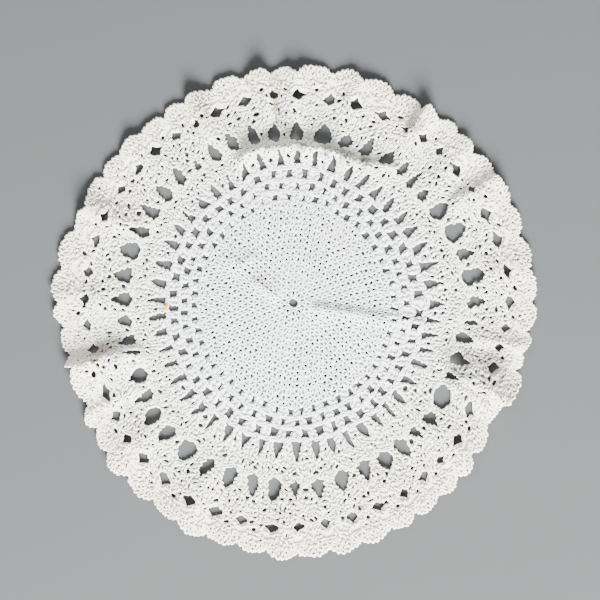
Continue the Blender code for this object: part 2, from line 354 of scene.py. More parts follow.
# Small round holes that stand out between the strands. Each is missing in some repeats.
DOT_COLUMNS = ("a", "s", "radius", "share")
DOTS = (
    (0.0, 88.2, 0.90, 0.9),
    (2.4, 93.4, 0.75, 0.55),
    (0.0, 93.4, 0.70, 0.5),
    (0.0, 98.4, 0.80, 0.6),
    (2.2, 100.2, 0.80, 0.6),
    (4.3, 98.8, 0.80, 0.6),
    (5.6, 101.4, 0.85, 0.5),
    (0.0, 111.2, 0.90, 0.85),
    (0.2, 116.6, 0.75, 0.5),
    (2.6, 117.6, 0.80, 0.5),
    (5.6, 120.4, 0.90, 0.55),
    (1.2, 122.6, 0.75, 0.5),
    (3.5, 124.9, 0.90, 0.55),
    (6.3, 124.0, 0.85, 0.5),
    (2.0, 130.4, 0.80, 0.5),
    (5.0, 128.8, 0.85, 0.5),
    (0.2, 132.6, 0.75, 0.4),
    (3.0, 134.6, 0.80, 0.45),
    (0.0, 138.9, 1.00, 0.85),
    (2.6, 142.6, 0.50, 0.35),
    (5.0, 144.8, 0.50, 0.3),
    (1.2, 148.2, 0.50, 0.3),
)
DOT_JITTER = 0.35
DOT_GROWTH = (0.95, 1.6)
LEAST_DISTANCE = 0.05  # keeps a point right on a dot's middle from being divided by nothing


def place_dots():
    """(s, theta, radius) of the dots of every repeat, as an array by repeat and dot."""
    rows = []
    for a, s, radius, share in DOTS:
        for side in (1.0, -1.0) if a else (1.0,):
            there = RNG.uniform(size=REPEATS) < share
            dot_s = s + RNG.normal(0.0, DOT_JITTER, REPEATS)
            off = side * a + RNG.normal(0.0, DOT_JITTER, REPEATS)
            size = np.where(there, radius * RNG.uniform(*DOT_GROWTH, REPEATS), 0.0)
            rows.append(np.stack([dot_s, np.arange(REPEATS) * PITCH + off / dot_s, size], axis=-1))
    return np.stack(rows, axis=1)


PLACED_DOTS = place_dots()


def round_the_dots(path, radius):
    """A path of (s, theta, h) with its points pushed out of the dots."""
    repeat = np.round(path[..., 1] / PITCH).astype(int) % REPEATS
    out, off = path[..., 0].copy(), path[..., 1].copy()
    for dot in range(PLACED_DOTS.shape[1]):
        s, theta, size = np.moveaxis(PLACED_DOTS[repeat, dot], -1, 0)
        along = (path[..., 1] - theta + math.pi) % (2.0 * math.pi) - math.pi
        x, y = path[..., 0] - s, along * path[..., 0]
        distance = np.maximum(np.hypot(x, y), LEAST_DISTANCE)
        clear = np.where(size > 0.0, size + radius, 0.0)
        push = np.maximum(clear - distance, 0.0) / distance
        out += x * push
        off += y * push / path[..., 0]
    return np.stack([out, off, path[..., 2]], axis=-1)


# -------- strands


STEP_JITTER = 0.08
LOWEST = -0.1  # no strand reaches into the floor
GIRTH = (0.88, 1.14)
TONE = (0.5, 0.16)  # middle and spread of the strands' tones


def jittered(path):
    """A path of (s, theta, h) with each point moved a little, the angle by the same millimetres."""
    s = path[..., 0]
    one = np.ones_like(s)
    return path + RNG.normal(0.0, STEP_JITTER, path.shape) / np.stack([one, s, one], axis=-1)


def tube(centre, off, radius, closed):
    """Rings of points round lines through centre, where off points away from the cloth."""
    if closed:
        along = unit(np.roll(centre, -1, axis=1) - np.roll(centre, 1, axis=1))
    else:
        along = unit(np.gradient(centre, axis=1))
    side = unit(np.cross(along, off))
    out = np.cross(side, along)
    angle = 2.0 * math.pi * np.arange(SIDES) / SIDES
    ring = np.cos(angle)[:, None] * side[:, :, None] + np.sin(angle)[:, None] * out[:, :, None]
    girth = radius * RNG.uniform(*GIRTH, (*centre.shape[:2], 1, 1))
    points = centre[:, :, None] + girth * ring
    points[..., 2] = np.maximum(points[..., 2], LOWEST)
    return points


def lengths(centre, closed):
    """(here, there) the length run so far at both ends of each step of the strands."""
    run = np.cumsum(np.linalg.norm(np.diff(centre, axis=1), axis=-1), axis=1)
    run = np.concatenate([np.zeros((len(centre), 1)), run], axis=1)
    if not closed:
        return run[:, :-1], run[:, 1:]
    closing = np.linalg.norm(centre[:, 0] - centre[:, -1], axis=-1)[:, None]
    return run, np.concatenate([run[:, 1:], run[:, -1:] + closing], axis=1)


def strand_uvs(start, end):
    """The UVs of each quad's corners: millimetres along the strand, and a share of the way round."""
    shape = (*start.shape, SIDES)
    u_here, u_there = (np.broadcast_to(u[..., None], shape) for u in (start, end))
    v = np.broadcast_to(np.arange(SIDES) / SIDES, shape)
    u = np.stack([u_here, u_there, u_there, u_here], axis=-1)
    v = np.stack([v, v, v + 1.0 / SIDES, v + 1.0 / SIDES], axis=-1)
    return np.stack([u, v], axis=-1).reshape(-1, 2)


def add_object(mesh, tones, material):
    """The mesh as a smooth object of the scene, with a tone at each of its points."""
    tone = mesh.attributes.new("tone", "FLOAT", "POINT")
    tone.data.foreach_set("value", tones)
    mesh.validate()
    mesh.shade_smooth()
    mesh.materials.append(material)
    piece = bpy.data.objects.new(mesh.name, mesh)
    bpy.context.scene.collection.objects.link(piece)
    return piece


class Strands:
    """Strands of yarn gathered for one piece, each a tube along a path on the cloth."""

    def __init__(self):
        self.points, self.quads, self.caps = [], [], []
        self.uvs, self.tones = [], []
        self.total = 0

    def add(self, path, radius=STRAND, closed=False):
        """path holds strands by points by (s, theta, h)."""
        centre, off = on_cloth(round_the_dots(jittered(path), radius))
        points = tube(centre, off, radius, closed)
        index = self.total + np.arange(points[..., 0].size).reshape(points.shape[:-1])
        if closed:
            here, there = index, np.roll(index, -1, axis=1)
        else:
            here, there = index[:, :-1], index[:, 1:]
            self.caps += [index[:, 0].reshape(-1, SIDES), index[:, -1, ::-1].reshape(-1, SIDES)]
        quads = np.stack([here, there, np.roll(there, -1, 2), np.roll(here, -1, 2)], axis=-1)
        tone = RNG.normal(*TONE, (len(index), 1, 1))
        self.quads.append(quads.reshape(-1, 4))
        self.uvs.append(strand_uvs(*lengths(centre, closed)))
        self.points.append(points.reshape(-1, 3))
        self.tones.append(np.broadcast_to(tone, index.shape).ravel())
        self.total += index.size

    def piece(self, name, material):
        """The strands as one mesh object."""
        quads = np.concatenate(self.quads)
        caps = np.concatenate(self.caps) if self.caps else np.zeros((0, SIDES), int)
        corners = np.concatenate([quads.ravel(), caps.ravel()])
        sizes = np.concatenate([np.full(len(quads), 4), np.full(len(caps), SIDES)])
        uvs = np.concatenate([*self.uvs, np.zeros((caps.size, 2))])
        mesh = bpy.data.meshes.new(name)
        mesh.vertices.add(self.total)
        mesh.vertices.foreach_set("co", (np.concatenate(self.points) * MM).ravel())
        mesh.loops.add(len(corners))
        mesh.loops.foreach_set("vertex_index", corners)
        mesh.polygons.add(len(sizes))
        mesh.polygons.foreach_set("loop_start", np.concatenate([[0], np.cumsum(sizes)[:-1]]))
        mesh.uv_layers.new(name="strand").uv.foreach_set("vector", uvs.ravel())
        mesh.update(calc_edges=True)
        return add_object(mesh, np.concatenate(self.tones), material)


def smooth_curve(knots, count):
    """Points spread along a smooth curve through the knots."""
    knots = np.asarray(knots, float)
    padded = np.vstack([2.0 * knots[0] - knots[1], knots, 2.0 * knots[-1] - knots[-2]])
    place = np.linspace(0.0, len(knots) - 1.0, count)
    i = np.minimum(place.astype(int), len(knots) - 2)
    t = (place - i)[:, None]
    before, start, end, after = (padded[i + n] for n in range(4))
    return 0.5 * (
        2.0 * start
        + (end - before) * t
        + (2.0 * before - 5.0 * start + 4.0 * end - after) * t**2
        + (3.0 * start - before - 3.0 * end + after) * t**3
    )


POST_SPREAD = 0.66
POST_HEIGHT = 0.2
POST_DEPTH = 0.58
POST_LAY = 3.1  # length of one turn of the strand round its post
TURN_SHARE = (0.85, 1.2)  # how much faster or slower a strand turns than that
SPREAD_SHARE = (0.8, 1.2)
POST_RISE = (0.15, 0.85)  # the stretch of a half wave that a post's height follows
POST_JITTER = 0.2


def post_path(knots, steps):
    """The strand of one post, wound up along a line of (a, s), as (a, s, h)."""
    axis = smooth_curve(knots, steps)
    run = unit(np.gradient(axis, axis=0))
    across = np.stack([run[:, 1], -run[:, 0]], axis=-1)
    length = np.append(0.0, np.cumsum(np.linalg.norm(np.diff(axis, axis=0), axis=1)))
    hand = RNG.choice((-1.0, 1.0))
    twist = 2.0 * math.pi * (length / POST_LAY * RNG.uniform(*TURN_SHARE) + RNG.uniform(0.0, 1.0))
    spread = POST_SPREAD * RNG.uniform(*SPREAD_SHARE) * np.cos(twist)
    low, high = POST_RISE
    rise = np.sin(math.pi * (low + (high - low) * length / length[-1]))
    place = axis + spread[:, None] * across
    height = (POST_HEIGHT + hand * POST_DEPTH * np.sin(twist)) * rise
    return np.column_stack([place, height])


def lay_post(strands, knots, steps, at=0.0):
    """A post in every repeat, and its mirror image unless it stands on the middle line."""
    for side in (1.0, -1.0) if knots[-1][0] else (1.0,):
        line = np.array(knots, float) * (side, 1.0)
        paths = []
        for repeat in range(REPEATS):
            path = post_path(line + RNG.normal(0.0, POST_JITTER, line.shape), 2 * steps)
            theta = (repeat + at) * PITCH + path[:, 0] / path[:, 1]
            paths.append(np.column_stack([path[:, 1], theta, path[:, 2]]))
        strands.add(np.array(paths))


# One link of a chain edge, seen from above, is a V. Columns: along the chain in links, to the
# side in millimetres and up in millimetres, for one of its two mirrored strands.
LINK = (
    (0.00, 0.22, 0.10),
    (0.25, 0.42, 0.50),
    (0.55, 0.66, 0.62),
    (0.80, 0.70, 0.38),
    (0.95, 0.42, 0.05),
)
CHAIN_LIFT = -0.05
CHAIN_STRAND = 0.68
CHAIN_STEP = 0.0005  # share of a chain from a point to the one that gives its direction


def lay_chain(strands, line, links, radius=CHAIN_STRAND):
    """A chain edge along a closed line. line(x) gives (s, theta) for x from 0 to 1 round it."""
    link = np.array(LINK)
    x = (np.arange(links)[:, None] + link[:, 0]).ravel() / links
    s, theta = line(x)
    ahead_s, ahead_theta = line(x + CHAIN_STEP)
    run = unit(np.stack([ahead_s - s, (ahead_theta - theta) * s], axis=-1))
    side = np.tile(link[:, 1], links)
    height = np.tile(link[:, 2], links) + CHAIN_LIFT
    for flip in (1.0, -1.0):
        out_s = s + flip * side * run[:, 1]
        out_theta = theta - flip * side * run[:, 0] / s
        strands.add(np.stack([out_s, out_theta, height], axis=-1)[None], radius, closed=True)


# One single crochet seen from above is a V as well. Columns: to the side in stitches, outward
# in rows, and up in millimetres.
STITCH = (
    (-0.45, 0.95, 0.15),
    (-0.29, 0.80, 0.42),
    (-0.15, 0.42, 0.50),
    (-0.08, 0.04, 0.28),
    (0.00, -0.12, -0.10),
    (0.08, 0.04, 0.28),
    (0.15, 0.42, 0.50),
    (0.29, 0.80, 0.42),
    (0.45, 0.95, 0.15),
)
# The loop that lies along the top of a row, in the same columns.
ROW_TOP = (
    (-0.50, 0.94, 0.25),
    (-0.20, 1.03, 0.65),
    (0.05, 1.06, 0.70),
    (0.30, 1.02, 0.60),
)
STITCH_STRAND = 0.65
ROW_TOP_STRAND = 0.55
STITCH_JITTER = (0.025, 0.03, 0.04)  # in the columns of STITCH
ROUND_PHASE = 0.37  # stitches by which each round is turned on from the one before

# The chain that the crochet starts from, round the centre hole.
FIRST_CHAIN_AT = 3.9
FIRST_CHAIN_LINKS = 10
FIRST_CHAIN_STRAND = 0.5


def disc_round(number):
    """(start, stitches, phase) of one close round."""
    start = DISC_START + ROW * number
    return start, FIRST_ROUND_STITCHES + STITCHES_ADDED * number, ROUND_PHASE * number


def lay_row(strands, template, number, radius):
    """One strand that makes the same small shape for each stitch of a close round."""
    start, stitches, phase = disc_round(number)
    shape = np.array(template)
    jitter = RNG.normal(0.0, STITCH_JITTER, (stitches, len(shape), 3))
    place = np.arange(stitches)[:, None, None] * np.array([1.0, 0.0, 0.0]) + shape + jitter
    place = place.reshape(-1, 3)
    theta = (place[:, 0] + phase) * 2.0 * math.pi / stitches
    path = np.column_stack([start + place[:, 1] * ROW, theta, place[:, 2]])
    strands.add(path[None], radius, closed=True)


def round_line(s):
    """A chain's line that keeps its distance from the centre."""
    return lambda x: (np.full_like(x, s), 2.0 * math.pi * x)


def arched_line(low, high, power):
    """A chain's line that arches up over the middle of each repeat."""

    def line(x):
        part = (x * REPEATS + 0.5) % 1.0 * 2.0 - 1.0
        return high - (high - low) * np.abs(part) ** power, 2.0 * math.pi * x

    return line


def make_disc(material):
    strands = Strands()
    lay_chain(strands, round_line(FIRST_CHAIN_AT), FIRST_CHAIN_LINKS, FIRST_CHAIN_STRAND)
    for number in range(DISC_ROUNDS):
        lay_row(strands, STITCH, number, STITCH_STRAND)
        lay_row(strands, ROW_TOP, number, ROW_TOP_STRAND)
    return strands.piece("disc_stitches", material)


MESH_POST_BELOW = 0.3  # how far a mesh post starts below its round
MESH_POST_SHORT = 0.5  # and ends before the round does, under the chain edge
MESH_POST_STEPS = 8


def make_mesh_rounds(material):
    strands = Strands()
    for start, end, hole_at, base, belly, top in MESH_ROUNDS:
        third = (end - start) / 3.0
        middle = ((belly, start + third), (belly, end - third))
        knots = ((base, start - MESH_POST_BELOW), *middle, (top, end - MESH_POST_SHORT))
        lay_post(strands, knots, MESH_POST_STEPS, at=hole_at + 0.5)
    return strands.piece("mesh_posts", material)


# The posts of the fans and scallops, as knots (a, s) of their middle lines in one repeat. Each
# post off the middle line has a mirror image.
FIRST_FANS = (
    ((0.5, 81.2), (0.9, 84.0), (1.2, 88.0), (1.4, 91.0), (1.0, 95.4)),
    ((1.0, 81.5), (1.9, 83.8), (2.5, 87.5), (3.4, 91.2), (4.6, 95.4)),
)
FIRST_FAN_TOPS = (
    ((0.9, 93.6), (1.15, 99.0), (0.95, 105.6)),
    ((3.3, 93.0), (3.3, 98.6), (2.7, 104.8)),
    ((5.5, 93.8), (5.3, 98.0), (4.4, 103.4)),
)
SECOND_FANS = (
    ((0.8, 106.7), (1.3, 109.0), (1.45, 111.2), (1.05, 114.0), (1.2, 119.8)),
    ((1.4, 106.3), (2.2, 108.4), (2.4, 111.0), (3.4, 114.0), (5.3, 117.2), (6.9, 121.0)),
    ((2.2, 113.6), (3.0, 116.0), (3.8, 120.6)),
)
SECOND_FAN_MIDDLES = (
    ((0.0, 117.6), (0.0, 122.0), (0.0, 127.4)),
    ((2.5, 118.0), (2.3, 122.0), (2.0, 126.6)),
    ((4.7, 118.2), (4.5, 122.0), (4.3, 127.2)),
    ((6.8, 119.6), (6.8, 123.0), (6.9, 128.4)),
)
SECOND_FAN_TOPS = (
    ((0.9, 125.6), (1.2, 129.0), (1.1, 133.0)),
    ((3.3, 125.4), (3.3, 129.0), (3.3, 132.2)),
    ((5.6, 125.8), (5.5, 128.0), (5.3, 130.6)),
    ((7.7, 125.0), (7.6, 126.8), (7.4, 128.8)),
)
SCALLOP_BASES = (
    ((1.0, 132.8), (1.1, 135.2), (1.1, 137.4)),
    ((3.4, 132.6), (3.5, 134.8), (3.8, 136.8)),
    ((1.2, 137.4), (3.6, 137.8), (6.0, 138.8), (8.5, 140.6)),
)
SHELLS = (
    ((0.0, 140.9), (0.0, 143.6), (0.0, 147.8)),
    ((1.6, 140.4), (2.6, 143.4), (3.4, 147.0)),
    ((2.2, 139.4), (4.6, 141.6), (6.6, 144.6)),
)
# Each piece of posts: its name, and the posts and the steps of its rounds.
POST_PIECES = (
    ("first_fans", ((FIRST_FANS, 10), (FIRST_FAN_TOPS, 9))),
    ("second_fans", ((SECOND_FANS, 11), (SECOND_FAN_MIDDLES, 8))),
    ("scallop_posts", ((SECOND_FAN_TOPS, 7), (SCALLOP_BASES, 6), (SHELLS, 7))),
)


def make_posts(name, rounds, material):
    """A piece of the posts of several rounds."""
    strands = Strands()
    for posts, steps in rounds:
        for knots in posts:
            lay_post(strands, knots, steps)
    return strands.piece(name, material)


# Rows of single crochet round a scallop's shell, from its middle outward.
EDGE_CENTRE = 141.5
EDGE_COLUMNS = ("start", "row", "stitches")
EDGE_ROWS = (
    (5.4, 2.5, 6),
    (7.8, 2.4, 7),
    (10.1, 2.4, 8),
)
RIM_REACH = 12.2
EDGE_STRAND = 0.74
EDGE_JITTER = (0.05, 0.06, 0.07)  # in the columns of STITCH
NOTCH_SHARE = 0.6  # how much of a row's reach counts towards the pitch at its notches
STEEPEST = 0.95  # sine of the widest angle that a row sweeps to each side


def edge_place(repeat, round_it, reach):
    """(s, theta) on a scallop. round_it runs from -1 to 1 from notch to notch."""
    notch = 0.5 * PITCH * (EDGE_CENTRE + NOTCH_SHARE * reach)
    sweep = round_it * np.arcsin(np.minimum(notch / reach, STEEPEST))
    s = EDGE_CENTRE + reach * np.cos(sweep)
    return s, repeat * PITCH + reach * np.sin(sweep) / s


def lay_edge_row(strands, template, radius, start, row, stitches):
    """One strand that goes round every scallop, with a small shape for each stitch."""
    stitch = np.arange(stitches)[:, None, None] * np.array([1.0, 0.0, 0.0])
    place = (stitch + np.array(template) + np.array([0.5, 0.0, 0.0])).reshape(-1, 3)
    rows = []
    for repeat in range(REPEATS):
        moved = place + RNG.normal(0.0, EDGE_JITTER, place.shape)
        s, theta = edge_place(repeat, 2.0 * moved[:, 0] / stitches - 1.0, start + row * moved[:, 1])
        rows.append(np.column_stack([s, theta, moved[:, 2]]))
    strands.add(np.vstack(rows)[None], radius, closed=True)


def make_edging(material):
    strands = Strands()
    for start, row, stitches in EDGE_ROWS:
        lay_edge_row(strands, STITCH, EDGE_STRAND, start, row, stitches)
    return strands.piece("scallop_edging", material)


MESH_LINKS = 4  # in each repeat of a mesh round's chain edge
# The chain edges over the fans, which arch up over the middle of each repeat.
ARCH_COLUMNS = ("low", "high", "links")
ARCHES = (
    (103.2, 106.8, 5),
    (129.7, 133.8, 6),
)
ARCH_POWER = 1.7  # 1 is pointed, 2 is round


def make_chains(material):
    strands = Strands()
    for _, end, *_ in MESH_ROUNDS:
        lay_chain(strands, round_line(end), MESH_LINKS * REPEATS)
    for low, high, links in ARCHES:
        lay_chain(strands, arched_line(low, high, ARCH_POWER), links * REPEATS)
    return strands.piece("chain_edges", material)


# -------- ground


# One half of every large hole of a repeat, from its inner end to its outer end, as (a, s). Those
# at 0.5 lie between two repeats.
LARGE_GAP = (
    (0, 103.8), (2.4, 104.9), (4.2, 107.6), (4.4, 109.6),
    (3.8, 112.6), (2.5, 115.6), (1.0, 118.0), (0, 119.0),
)  # fmt: skip
HOLE_COLUMNS = ("at", "half_outline")
HOLES = (
    (0.0, ((0, 61.6), (1.5, 61.2), (1.05, 63.2), (1.4, 65.4), (0, 65.0))),
    (0.5, ((0, 68.3), (1.8, 67.9), (1.2, 70.3), (1.6, 72.7), (0, 72.2))),
    (0.0, ((0, 75.1), (2.3, 74.8), (1.65, 77.6), (2.1, 80.5), (0, 80.0))),
    (0.5, ((0, 82.9), (2.9, 82.5), (2.3, 86.5), (1.5, 90.0), (0.7, 93.0), (0, 95.0))),
    (0.5, LARGE_GAP),
    (0.5, ((0, 129.8), (1.5, 132.4), (4.6, 133.9), (4.6, 134.7), (1.6, 136.6), (0, 138.6))),
)
# Where small slits are left between neighbouring posts: along lines, mirrored.
SLIT_COLUMNS = ("from_a", "from_s", "to_a", "to_s", "count")
SLITS = (
    (0.0, 91.0, 0.0, 96.0, 2),
    (2.4, 89.0, 2.3, 96.0, 2),
    (4.0, 92.4, 4.3, 97.0, 2),
    (0.0, 97.0, 0.0, 104.6, 3),
    (1.7, 97.0, 1.4, 104.8, 2),
    (2.7, 98.0, 2.2, 104.6, 2),
    (4.2, 98.0, 3.7, 103.2, 2),
    (5.9, 96.4, 6.2, 102.0, 2),
    (0.0, 113.8, 0.0, 118.8, 2),
    (1.9, 107.6, 1.9, 112.4, 2),
    (1.8, 113.6, 2.5, 119.4, 2),
    (3.5, 115.2, 5.2, 119.4, 2),
    (1.07, 120.0, 1.0, 126.2, 3),
    (3.3, 119.6, 3.2, 126.2, 3),
    (5.5, 120.2, 5.4, 127.2, 3),
    (7.5, 120.6, 7.6, 124.8, 2),
    (0.0, 127.4, 0.0, 133.2, 2),
    (2.1, 126.8, 2.1, 132.8, 2),
    (4.2, 127.4, 4.2, 131.8, 2),
    (6.4, 127.8, 6.2, 130.0, 1),
    (1.8, 133.8, 1.8, 136.6, 1),
    (3.6, 133.4, 3.8, 136.4, 1),
    (0.9, 141.6, 1.5, 147.6, 2),
    (2.2, 141.6, 4.3, 147.0, 2),
    (3.6, 140.8, 7.0, 145.0, 2),
)
SLIT_LENGTH = (0.5, 1.15)  # from its middle to its end
SLIT_WIDTH = (0.3, 0.75)  # from its middle to its side
SLIT_PLACE = (0.2, 0.8)  # where a slit lies in its stretch of the line
SLIT_LEAN = 0.25
SLITS_LEFT_OUT = 0.12

HOLE_SIZE = (0.88, 1.1)
DOT_SIDES = 7
CENTRE_HOLE_SIDES = 16

# Dots of the disc, one between each two stitches of a round, with some missing.
DISC_DOT_SIDES = 5
DISC_DOT_SIZES = (0.0, 0.7, 0.85, 1.0)  # radii
DISC_DOT_SHARES = (0.08, 0.3, 0.36, 0.26)  # how often each size is drawn
DISC_DOT_ROW_SHARE = 0.4  # how far out in its row a dot lies
DISC_DOT_ROUNDNESS = 0.85  # its width as a share of its length
DISC_DOT_JITTER = 0.04
FIRST_DOT_SIZE = 1.1  # of the ring of dots round the centre hole
FIRST_DOT_ROW_SHARE = 0.5
CLOSE_ROUNDS = 6  # worked so closely that most of their dots are missing
CLOSE_DOTS_LEFT_OUT = 0.6

GROUND_H = -0.25  # off the middle of the cloth
GROUND_THICKNESS = 0.45
GROUND_GRID = 2.6
GROUND_GRID_TO = 149.0  # the scallops past this have no grid points of their own
GROUND_GRID_CLEAR = 1.0  # between the centre hole and the first grid points
# Below the strands' middle tone, so the ground between the strands is painted a little darker: a
# slight painted shade.
GROUND_SHADED_TONE = 0.4
SCALLOP_SIDES = 12
MERGE_WITHIN = 1e-4


def flat(s, theta):
    """Where a point lies when the cloth is spread flat."""
    return np.stack([s * np.cos(theta), s * np.sin(theta)], axis=-1)


def counter_clockwise(outline):
    x, y = outline.T
    twice_area = np.sum(x * np.roll(y, -1) - y * np.roll(x, -1))
    return outline if twice_area > 0.0 else outline[::-1]


def on_flat(outline, repeat):
    """An outline of (a, s) in one repeat, spread flat."""
    return flat(outline[:, 1], repeat * PITCH + outline[:, 0] / outline[:, 1])


def large_holes():
    for at, half in HOLES:
        half = np.array(half, float)
        whole = np.vstack([half, half[-2:0:-1] * (-1.0, 1.0)])
        middle = whole.mean(axis=0)
        for repeat in range(REPEATS):
            size = RNG.uniform(*HOLE_SIZE, 2)
            yield on_flat(middle + (whole - middle) * size, repeat + at)


def small_slits():
    for from_a, from_s, to_a, to_s, count in SLITS:
        start, end = np.array([from_a, from_s]), np.array([to_a, to_s])
        run = unit(end - start)
        for side in (1.0, -1.0) if from_a else (1.0,):
            for number in range(count * REPEATS):
                if RNG.uniform() < SLITS_LEFT_OUT:
                    continue
                share = (number % count + RNG.uniform(*SLIT_PLACE)) / count
                middle = start + share * (end - start)
                lean = unit(run + RNG.normal(0.0, SLIT_LEAN, 2))
                along = lean * RNG.uniform(*SLIT_LENGTH)
                across = np.array([lean[1], -lean[0]]) * RNG.uniform(*SLIT_WIDTH)
                outline = middle + np.array([along, across, -along, -across])
                yield on_flat(outline * (side, 1.0), number // count)


def round_dots():
    angle = np.arange(DOT_SIDES) * 2.0 * math.pi / DOT_SIDES
    for s, theta, radius in PLACED_DOTS.reshape(-1, 3):
        if radius:
            yield flat(s + radius * np.sin(angle), theta + radius * np.cos(angle) / s)


def disc_dot_size(number):
    """The radius of one dot in a close round, or 0 where it is missing."""
    size = RNG.choice(DISC_DOT_SIZES, p=DISC_DOT_SHARES)
    if number == 0:
        return FIRST_DOT_SIZE
    if number < CLOSE_ROUNDS and RNG.uniform() < CLOSE_DOTS_LEFT_OUT:
        return 0.0
    return size


def disc_dots():
    angle = np.arange(DISC_DOT_SIDES) * 2.0 * math.pi / DISC_DOT_SIDES
    for number in range(DISC_ROUNDS):
        start, stitches, phase = disc_round(number)
        row_share = DISC_DOT_ROW_SHARE if number else FIRST_DOT_ROW_SHARE
        for stitch in range(stitches):
            size = disc_dot_size(number)
            if not size:
                continue
            out = (row_share + RNG.normal(0.0, DISC_DOT_JITTER)) * ROW
            s = start + out + size * np.sin(angle)
            place = stitch + 0.5 + phase + RNG.normal(0.0, DISC_DOT_JITTER)
            turn = place * 2.0 * math.pi / stitches
            yield flat(s, turn + DISC_DOT_ROUNDNESS * size * np.cos(angle) / s)


def hole_outlines():
    """The outline of every hole of the cloth, spread flat."""
    angle = np.arange(CENTRE_HOLE_SIDES) * 2.0 * math.pi / CENTRE_HOLE_SIDES
    long_half, short_half = CENTRE_HOLE
    x, y = long_half * np.cos(angle), short_half * np.sin(angle)
    centre = flat(np.hypot(x, y), np.arctan2(y, x) + CENTRE_HOLE_LEAN)
    return [centre, *large_holes(), *round_dots(), *disc_dots(), *small_slits()]


def ground_outline():
    """The scalloped edge of the ground, spread flat."""
    round_it = np.linspace(-1.0, 1.0, SCALLOP_SIDES, endpoint=False)
    return np.vstack([flat(*edge_place(n, round_it, RIM_REACH)) for n in range(REPEATS)])


def ground_grid():
    """Points spread evenly over the ground, every second row set off by half a step."""
    side = np.arange(-RIM, RIM, GROUND_GRID)
    grid = np.stack(np.meshgrid(side, side), axis=-1).reshape(-1, 2)
    grid[:, 0] += 0.5 * GROUND_GRID * (np.round(grid[:, 1] / GROUND_GRID) % 2)
    from_centre = np.hypot(grid[:, 0], grid[:, 1])
    nearest = CENTRE_HOLE[0] + GROUND_GRID_CLEAR
    return grid[(from_centre < GROUND_GRID_TO) & (from_centre > nearest)]


def flat_ground():
    """(points, triangles) of the ground spread flat, with every hole cut out of it."""
    outlines = [counter_clockwise(outline) for outline in (ground_outline(), *hole_outlines())]
    points = [Vector(p) for outline in outlines for p in outline]
    points += [Vector(p) for p in ground_grid()]
    faces, at = [], 0
    for outline in outlines:
        faces.append(list(range(at, at + len(outline))))
        at += len(outline)
    corners, _, triangles, _, _, inside = delaunay_2d_cdt(points, [], faces, 1, MERGE_WITHIN)
    kept = np.array([t for t, owners in zip(triangles, inside) if owners == [0]])
    used, kept = np.unique(kept, return_inverse=True)
    return np.array([corners[i][:] for i in used]), kept.reshape(-1, 3)


def make_ground(material):
    """A thin cloth under the strands, and its flat area in square metres."""
    spread, triangles = flat_ground()
    x, y = spread.T
    path = np.column_stack([np.hypot(x, y), np.arctan2(y, x), np.full(len(x), GROUND_H)])
    place, _ = on_cloth(path)
    mesh = bpy.data.meshes.new("lace_ground")
    mesh.from_pydata((place * MM).tolist(), [], triangles.tolist())
    ground = add_object(mesh, np.full(len(place), GROUND_SHADED_TONE), material)
    solidify = ground.modifiers.new("thickness", "SOLIDIFY")
    solidify.thickness = GROUND_THICKNESS * MM
    solidify.offset = 0.0
    a, b, c = (spread[triangles[:, i]] for i in range(3))
    area = 0.5 * np.abs(np.cross(b - a, c - a)).sum()
    return ground, area * MM * MM


# -------- materials


INNER_COTTON = (0.805, 0.84, 0.83, 1.0)
OUTER_COTTON = (0.81, 0.795, 0.71, 1.0)
INNER_TO, OUTER_FROM = 0.05, 0.16  # metres from the middle
AGED_COTTON = (0.79, 0.745, 0.58, 1.0)
AGED_CLOUDS = {"Scale": 26.0, "Detail": 2.0}
AGED_FROM, AGED_TO, AGED_STRENGTH = 0.45, 0.72, 0.45
# Painted shade: where ambient occlusion finds little open sky in the crevices between the strands,
# the colour is darkened towards this grey.
CREVICE_SHADE_COLOUR = (0.16, 0.16, 0.15, 1.0)
CREVICE_SHADE_REACH = 0.0022
CREVICE_SHADE_SAMPLES = 6
CREVICE_SHADE_FROM, CREVICE_SHADE_TO = 0.08, 0.5  # the shares of open sky from darkest to none
STRAND_SHADES = (0.93, 1.04)  # of the greyest and the whitest strand
COTTON_ROUGHNESS = 0.93
COTTON_SPECULAR = 0.2
# The same share holds for the patches of painted shade on the folds.
STAIN_AND_SHADE_CORE = 0.2  # share of a stain's radius at its full strength

PLY_LENGTH = 1.5  # millimetres along a strand for one turn of its plies
PLIES = 2
FIBRES = {"Scale": 2600.0, "Detail": 3.0}
FIBRE_HEIGHT = 0.8  # as a share of the height of a ply
YARN_RELIEF = {"Strength": 0.5, "Distance": 0.00022}

FLOOR_COLOUR = (0.059, 0.0605, 0.062, 1.0)
FLOOR_ROUGHNESS = 0.85

STAIN_COLUMNS = ("azimuth", "s", "radius", "colour", "strength")
STAINS = (
    (178.9, 82.3, 3.6, (0.58, 0.30, 0.03, 1.0), 1.0),
    (181.0, 84.6, 3.0, (0.66, 0.40, 0.12, 1.0), 0.6),
    (56, 50.0, 9.0, (0.80, 0.76, 0.62, 1.0), 0.35),
    (165, 126.0, 6.0, (0.74, 0.76, 0.55, 1.0), 0.35),
    (120, 126.0, 6.0, (0.74, 0.75, 0.55, 1.0), 0.35),
    (117, 138.0, 9.0, (0.82, 0.77, 0.58, 1.0), 0.4),
)
